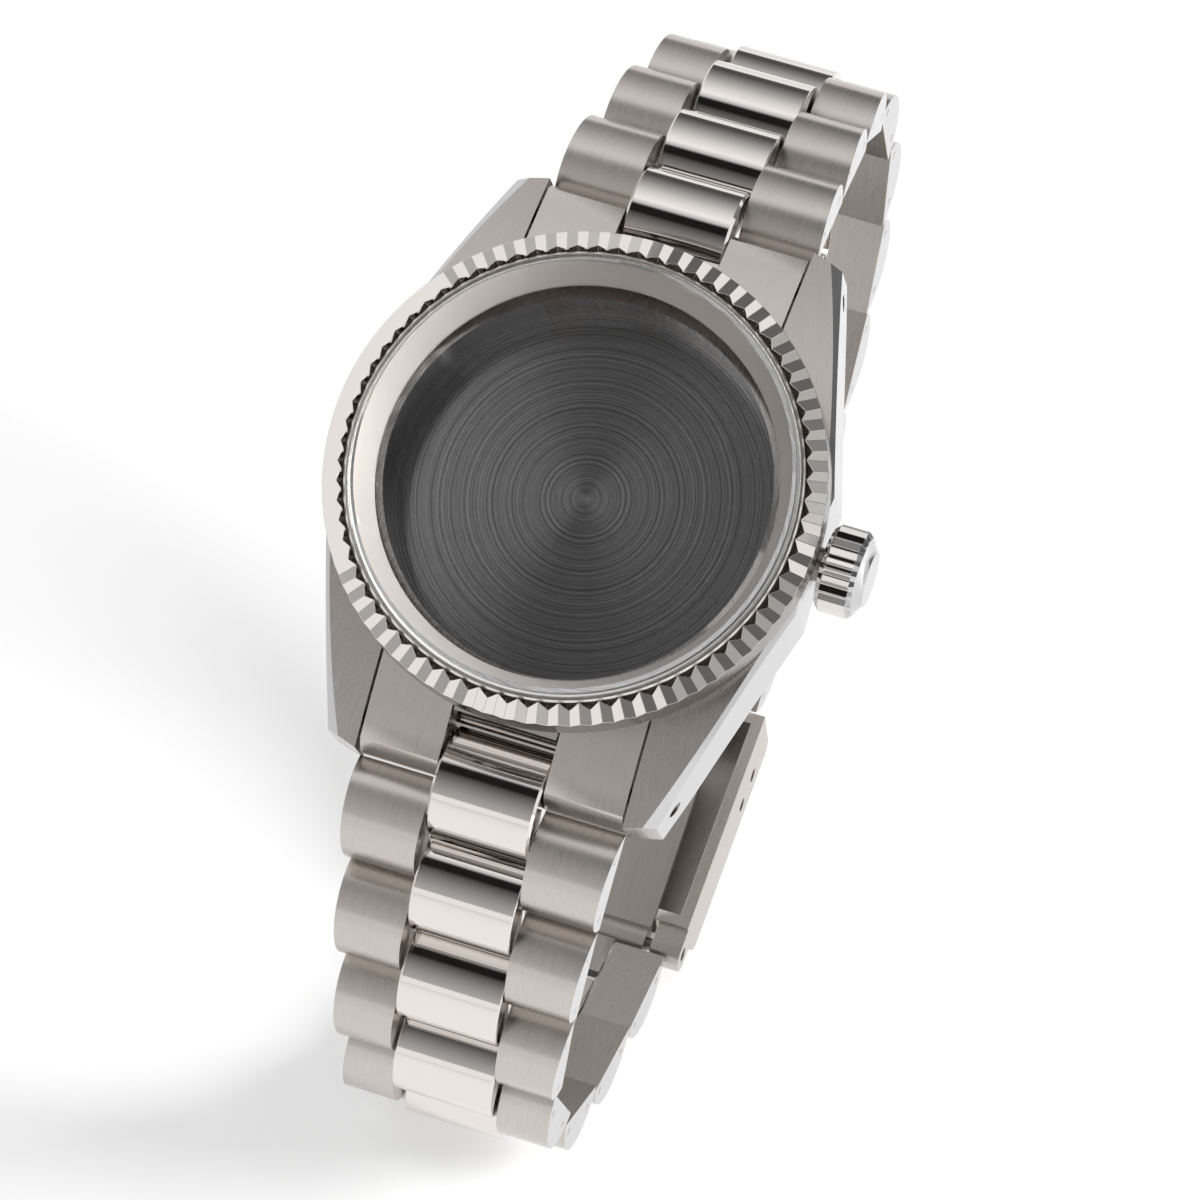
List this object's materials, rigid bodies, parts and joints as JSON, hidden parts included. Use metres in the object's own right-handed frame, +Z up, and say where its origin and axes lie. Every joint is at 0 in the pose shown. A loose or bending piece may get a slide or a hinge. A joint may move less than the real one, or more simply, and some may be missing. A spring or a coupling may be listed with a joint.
{
  "type": "watch case with bracelet",
  "caption": "Empty steel watch case with a fluted bezel, flat crystal and crown, on a half-round link bracelet with a folding clasp.",
  "frame": {"origin": "middle of the dial seat, at the top of the bore that holds the movement", "axes": "+X towards the crown at 3 o'clock, +Z up as the closed watch stands on its lowest links, +Y to the back; the dial leans back by 36.2 degrees"},
  "size_m": [0.0395, 0.0746, 0.0696],
  "materials": {
    "case_steel": "vertical brushed top, polished bevels and flanks",
    "brushed_steel": "satin brushed along the bracelet",
    "satin_steel": "fine satin",
    "turned_steel": "turned in fine circles inside, brushed outside",
    "polished_steel": "mirror polished stainless steel",
    "pin_steel": "ground steel",
    "crystal": "flat clear sapphire",
    "white_nylon": "moulded",
    "rubber": "moulded O-ring"
  },
  "bodies": {
    "case": {"case_middle": "case_steel", "bezel": "polished_steel", "crystal": "crystal", "crystal_gasket": "white_nylon", "tension_ring": "polished_steel", "rehaut_ring": "satin_steel", "caseback": "turned_steel", "caseback_gasket": "rubber", "crown_tube": "pin_steel", "end_link_12": "brushed_steel", "end_link_6": "brushed_steel", "end_centre_12": "polished_steel", "end_centre_6": "polished_steel", "spring_bar_12": "pin_steel", "spring_bar_6": "pin_steel"},
    "crown_post": {"crown_post": "pin_steel", "crown_gasket": "rubber"},
    "crown": {"crown": "polished_steel"},
    "bar_tip_12_right": {"bar_tip_12_right": "pin_steel"},
    "bar_tip_12_left": {"bar_tip_12_left": "pin_steel"},
    "bar_tip_6_right": {"bar_tip_6_right": "pin_steel"},
    "bar_tip_6_left": {"bar_tip_6_left": "pin_steel"},
    "row_12_1": {"outer_links_12_1": "brushed_steel", "centre_link_12_1": "polished_steel"},
    "row_12_2": {"outer_links_12_2": "brushed_steel", "centre_link_12_2": "polished_steel"},
    "row_12_3": {"outer_links_12_3": "brushed_steel", "centre_link_12_3": "polished_steel"},
    "row_12_4": {"outer_links_12_4": "brushed_steel", "centre_link_12_4": "polished_steel"},
    "row_12_5": {"outer_links_12_5": "brushed_steel", "centre_link_12_5": "polished_steel"},
    "row_12_6": {"outer_links_12_6": "brushed_steel", "centre_link_12_6": "polished_steel"},
    "row_12_7": {"outer_links_12_7": "brushed_steel", "centre_link_12_7": "polished_steel"},
    "row_12_8": {"outer_links_12_8": "brushed_steel", "centre_link_12_8": "polished_steel"},
    "row_12_9": {"outer_links_12_9": "brushed_steel", "centre_link_12_9": "polished_steel"},
    "row_12_10": {"outer_links_12_10": "brushed_steel"},
    "row_6_1": {"outer_links_6_1": "brushed_steel", "centre_link_6_1": "polished_steel"},
    "row_6_2": {"outer_links_6_2": "brushed_steel", "centre_link_6_2": "polished_steel"},
    "row_6_3": {"outer_links_6_3": "brushed_steel", "centre_link_6_3": "polished_steel"},
    "row_6_4": {"outer_links_6_4": "brushed_steel", "centre_link_6_4": "polished_steel"},
    "row_6_5": {"outer_links_6_5": "brushed_steel", "centre_link_6_5": "polished_steel"},
    "row_6_6": {"outer_links_6_6": "brushed_steel", "centre_link_6_6": "polished_steel"},
    "row_6_7": {"outer_links_6_7": "brushed_steel", "centre_link_6_7": "polished_steel"},
    "blade_short": {"blade_short": "satin_steel", "blade_pin": "pin_steel"},
    "blade_long": {"blade_long": "satin_steel", "clasp_pin": "pin_steel"},
    "clasp_cover": {"clasp_cover": "brushed_steel"}
  },
  "joints": [
    {"name": "crown_pull", "type": "slide", "parent": "case", "child": "crown_post", "axis": [1, 0, 0], "range_m": [0, 0.0015]},
    {"name": "crown_turn", "type": "hinge", "parent": "crown_post", "child": "crown", "pos_m": [0.018, 0.00177, -0.00242], "axis": [1, 0, 0], "continuous": true},
    {"name": "press_bar_tip_12_right", "type": "slide", "parent": "case", "child": "bar_tip_12_right", "axis": [-1, 0, 0], "range_m": [0, 0.00095], "stiffness_N_per_m": 400, "springref_m": -0.001},
    {"name": "press_bar_tip_12_left", "type": "slide", "parent": "case", "child": "bar_tip_12_left", "axis": [1, 0, 0], "range_m": [0, 0.00095], "stiffness_N_per_m": 400, "springref_m": -0.001},
    {"name": "press_bar_tip_6_right", "type": "slide", "parent": "case", "child": "bar_tip_6_right", "axis": [-1, 0, 0], "range_m": [0, 0.00095], "stiffness_N_per_m": 400, "springref_m": -0.001},
    {"name": "press_bar_tip_6_left", "type": "slide", "parent": "case", "child": "bar_tip_6_left", "axis": [1, 0, 0], "range_m": [0, 0.00095], "stiffness_N_per_m": 400, "springref_m": -0.001},
    {"name": "hinge_12_1", "type": "hinge", "parent": "case", "child": "row_12_1", "pos_m": [0, 0.02313, 0.00886], "axis": [1, 0, 0], "range_deg": [0, 38]},
    {"name": "hinge_12_2", "type": "hinge", "parent": "row_12_1", "child": "row_12_2", "pos_m": [0, 0.0315, 0.00816], "axis": [1, 0, 0], "range_deg": [0, 5.5]},
    {"name": "hinge_12_3", "type": "hinge", "parent": "row_12_2", "child": "row_12_3", "pos_m": [0, 0.03977, 0.00673], "axis": [1, 0, 0], "range_deg": [0, 20.5]},
    {"name": "hinge_12_4", "type": "hinge", "parent": "row_12_3", "child": "row_12_4", "pos_m": [0, 0.04706, 0.00255], "axis": [1, 0, 0], "range_deg": [0, 29.5]},
    {"name": "hinge_12_5", "type": "hinge", "parent": "row_12_4", "child": "row_12_5", "pos_m": [0, 0.05141, -0.00464], "axis": [1, 0, 0], "range_deg": [0, 25.5]},
    {"name": "hinge_12_6", "type": "hinge", "parent": "row_12_5", "child": "row_12_6", "pos_m": [0, 0.05232, -0.01299], "axis": [1, 0, 0], "range_deg": [0, 20.5]},
    {"name": "hinge_12_7", "type": "hinge", "parent": "row_12_6", "child": "row_12_7", "pos_m": [0, 0.05031, -0.02114], "axis": [1, 0, 0], "range_deg": [0, 12.5]},
    {"name": "hinge_12_8", "type": "hinge", "parent": "row_12_7", "child": "row_12_8", "pos_m": [0, 0.04665, -0.02871], "axis": [1, 0, 0], "range_deg": [0, 10.5]},
    {"name": "hinge_12_9", "type": "hinge", "parent": "row_12_8", "child": "row_12_9", "pos_m": [0, 0.04174, -0.03552], "axis": [1, 0, 0], "range_deg": [0, 8.5]},
    {"name": "hinge_12_10", "type": "hinge", "parent": "row_12_9", "child": "row_12_10", "pos_m": [0, 0.03592, -0.04158], "axis": [1, 0, 0], "range_deg": [0, 6.5]},
    {"name": "hinge_6_1", "type": "hinge", "parent": "case", "child": "row_6_1", "pos_m": [0, -0.01545, -0.01936], "axis": [-1, 0, 0], "range_deg": [0, 37]},
    {"name": "hinge_6_2", "type": "hinge", "parent": "row_6_1", "child": "row_6_2", "pos_m": [0, -0.01746, -0.02751], "axis": [-1, 0, 0], "range_deg": [0, 8.5]},
    {"name": "hinge_6_3", "type": "hinge", "parent": "row_6_2", "child": "row_6_3", "pos_m": [0, -0.01831, -0.03587], "axis": [-1, 0, 0], "range_deg": [0, 12.5]},
    {"name": "hinge_6_4", "type": "hinge", "parent": "row_6_3", "child": "row_6_4", "pos_m": [0, -0.0174, -0.04422], "axis": [-1, 0, 0], "range_deg": [0, 30.5]},
    {"name": "hinge_6_5", "type": "hinge", "parent": "row_6_4", "child": "row_6_5", "pos_m": [0, -0.01244, -0.051], "axis": [-1, 0, 0], "range_deg": [0, 32.5]},
    {"name": "hinge_6_6", "type": "hinge", "parent": "row_6_5", "child": "row_6_6", "pos_m": [0, -0.00465, -0.05412], "axis": [-1, 0, 0], "range_deg": [0, 16.5]},
    {"name": "hinge_6_7", "type": "hinge", "parent": "row_6_6", "child": "row_6_7", "pos_m": [0, 0.00371, -0.05497], "axis": [-1, 0, 0], "range_deg": [0, 8.5]},
    {"name": "short_blade_swing", "type": "hinge", "parent": "row_12_10", "child": "blade_short", "pos_m": [0, 0.03214, -0.04477], "axis": [1, 0, 0], "range_deg": [0, 160.5]},
    {"name": "long_blade_unfold", "type": "hinge", "parent": "blade_short", "child": "blade_long", "pos_m": [0, 0.03955, -0.03409], "axis": [-1, 0, 0], "range_deg": [0, 160.5]},
    {"name": "cover_lift", "type": "hinge", "parent": "blade_long", "child": "clasp_cover", "pos_m": [0, 0.0121, -0.05465], "axis": [-1, 0, 0], "range_deg": [0, 75]}
  ],
  "couplings": [
    {"joint": "press_bar_tip_12_left", "follows": "press_bar_tip_12_right", "ratio": 1},
    {"joint": "press_bar_tip_6_left", "follows": "press_bar_tip_6_right", "ratio": 1},
    {"joint": "hinge_12_2", "follows": "hinge_12_1", "ratio": 0.13158},
    {"joint": "hinge_12_3", "follows": "hinge_12_1", "ratio": 0.52632},
    {"joint": "hinge_12_4", "follows": "hinge_12_1", "ratio": 0.76316},
    {"joint": "hinge_12_5", "follows": "hinge_12_1", "ratio": 0.65789},
    {"joint": "hinge_12_6", "follows": "hinge_12_1", "ratio": 0.52632},
    {"joint": "hinge_12_7", "follows": "hinge_12_1", "ratio": 0.31579},
    {"joint": "hinge_12_8", "follows": "hinge_12_1", "ratio": 0.26316},
    {"joint": "hinge_12_9", "follows": "hinge_12_1", "ratio": 0.21053},
    {"joint": "hinge_12_10", "follows": "hinge_12_1", "ratio": 0.15789},
    {"joint": "hinge_6_2", "follows": "hinge_6_1", "ratio": 0.21622},
    {"joint": "hinge_6_3", "follows": "hinge_6_1", "ratio": 0.32432},
    {"joint": "hinge_6_4", "follows": "hinge_6_1", "ratio": 0.81081},
    {"joint": "hinge_6_5", "follows": "hinge_6_1", "ratio": 0.86486},
    {"joint": "hinge_6_6", "follows": "hinge_6_1", "ratio": 0.43243},
    {"joint": "hinge_6_7", "follows": "hinge_6_1", "ratio": 0.21622},
    {"joint": "short_blade_swing", "follows": "hinge_12_1", "ratio": 4.2105},
    {"joint": "long_blade_unfold", "follows": "hinge_12_1", "ratio": 4.2105}
  ]
}
